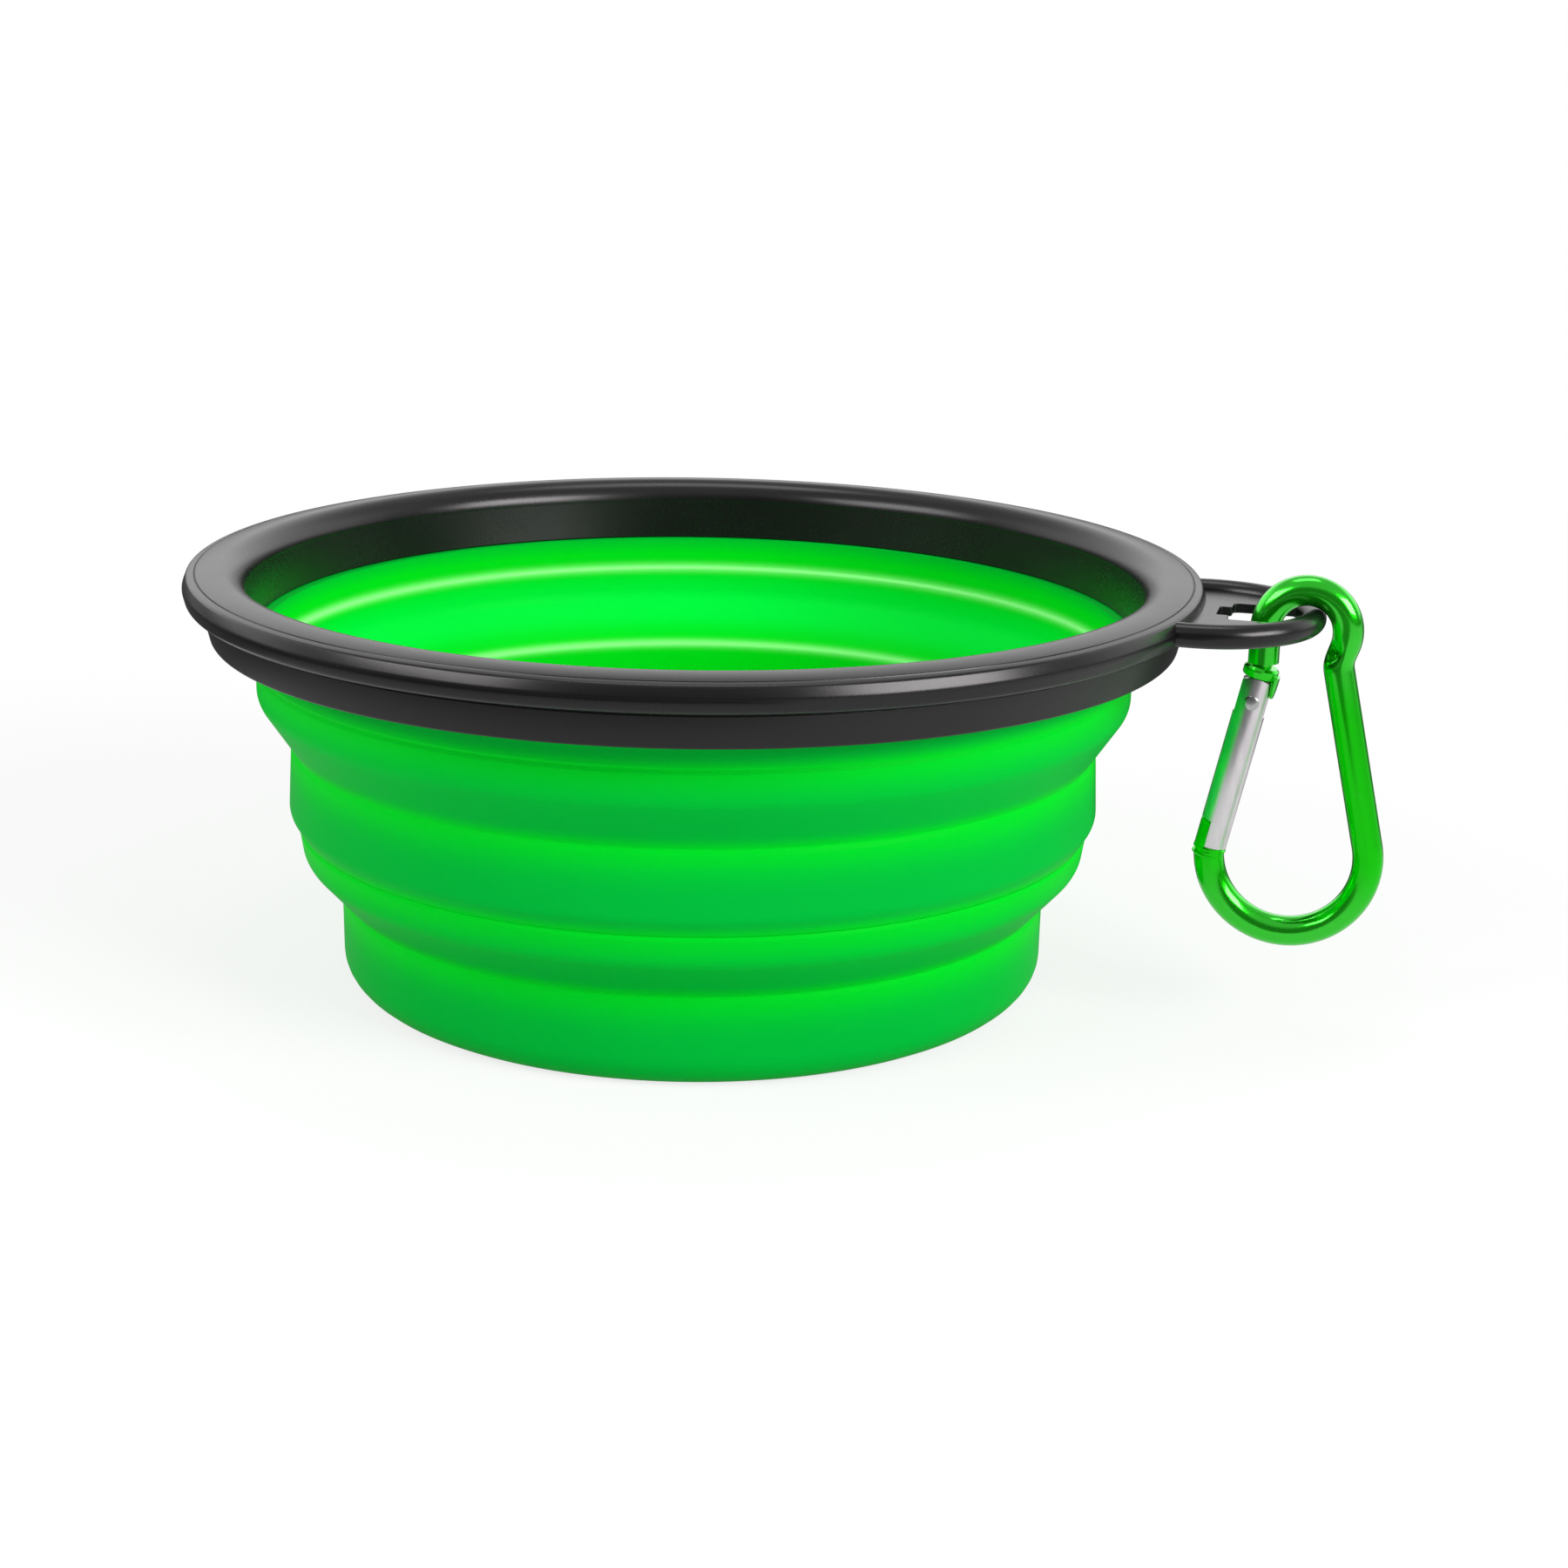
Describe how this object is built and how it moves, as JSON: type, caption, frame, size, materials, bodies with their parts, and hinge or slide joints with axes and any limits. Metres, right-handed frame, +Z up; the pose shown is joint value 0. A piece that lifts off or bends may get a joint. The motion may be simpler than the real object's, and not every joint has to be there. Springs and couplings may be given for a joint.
{
  "type": "collapsible pet bowl",
  "caption": "Round travel bowl with a stepped silicone wall that folds up into a stiff plastic rim, and a snap hook hanging from a slotted tab.",
  "frame": {"origin": "centre of the base's flat underside, on the bowl's own axis", "axes": "+X from the bowl's axis towards the tab and the hook, +Z up out of the bowl's mouth, +Y to the left of +X"},
  "size_m": [0.154, 0.13, 0.0581],
  "materials": {
    "rim_plastic": "black, half gloss",
    "silicone": "bright green, smooth satin",
    "hook_metal": "bright green anodised",
    "gate_metal": "bare, bright",
    "rivet_metal": "plain steel"
  },
  "bodies": {
    "rim": {"rim_ring": "rim_plastic", "clamp_ring": "rim_plastic", "wall_collar": "silicone", "upper_fold": "silicone"},
    "middle": {"middle_tier": "silicone", "lower_fold": "silicone"},
    "base": {"base_cup": "silicone"},
    "hook": {"hook_body": "hook_metal", "gate_rivet": "rivet_metal"},
    "gate": {"hook_gate": "gate_metal", "gate_plunger": "rivet_metal", "gate_spring": "rivet_metal"}
  },
  "joints": [
    {"name": "middle_slide", "type": "slide", "parent": "rim", "child": "middle", "axis": [0, 0, 1], "range_m": [0, 0.021], "deforming": ["upper_fold"]},
    {"name": "base_slide", "type": "slide", "parent": "middle", "child": "base", "axis": [0, 0, 1], "range_m": [0, 0.0184], "deforming": ["lower_fold"]},
    {"name": "hook_swing", "type": "hinge", "parent": "rim", "child": "hook", "pos_m": [0.0784, 0, 0.0525], "axis": [0, -1, 0], "range_deg": [-25, 220]},
    {"name": "gate_hinge", "type": "hinge", "parent": "hook", "child": "gate", "pos_m": [0.07163, 0, 0.04196], "axis": [0, -1, 0], "range_deg": [0, 42], "stiffness_Nm_per_rad": 0.008, "springref_deg": -20.05}
  ]
}
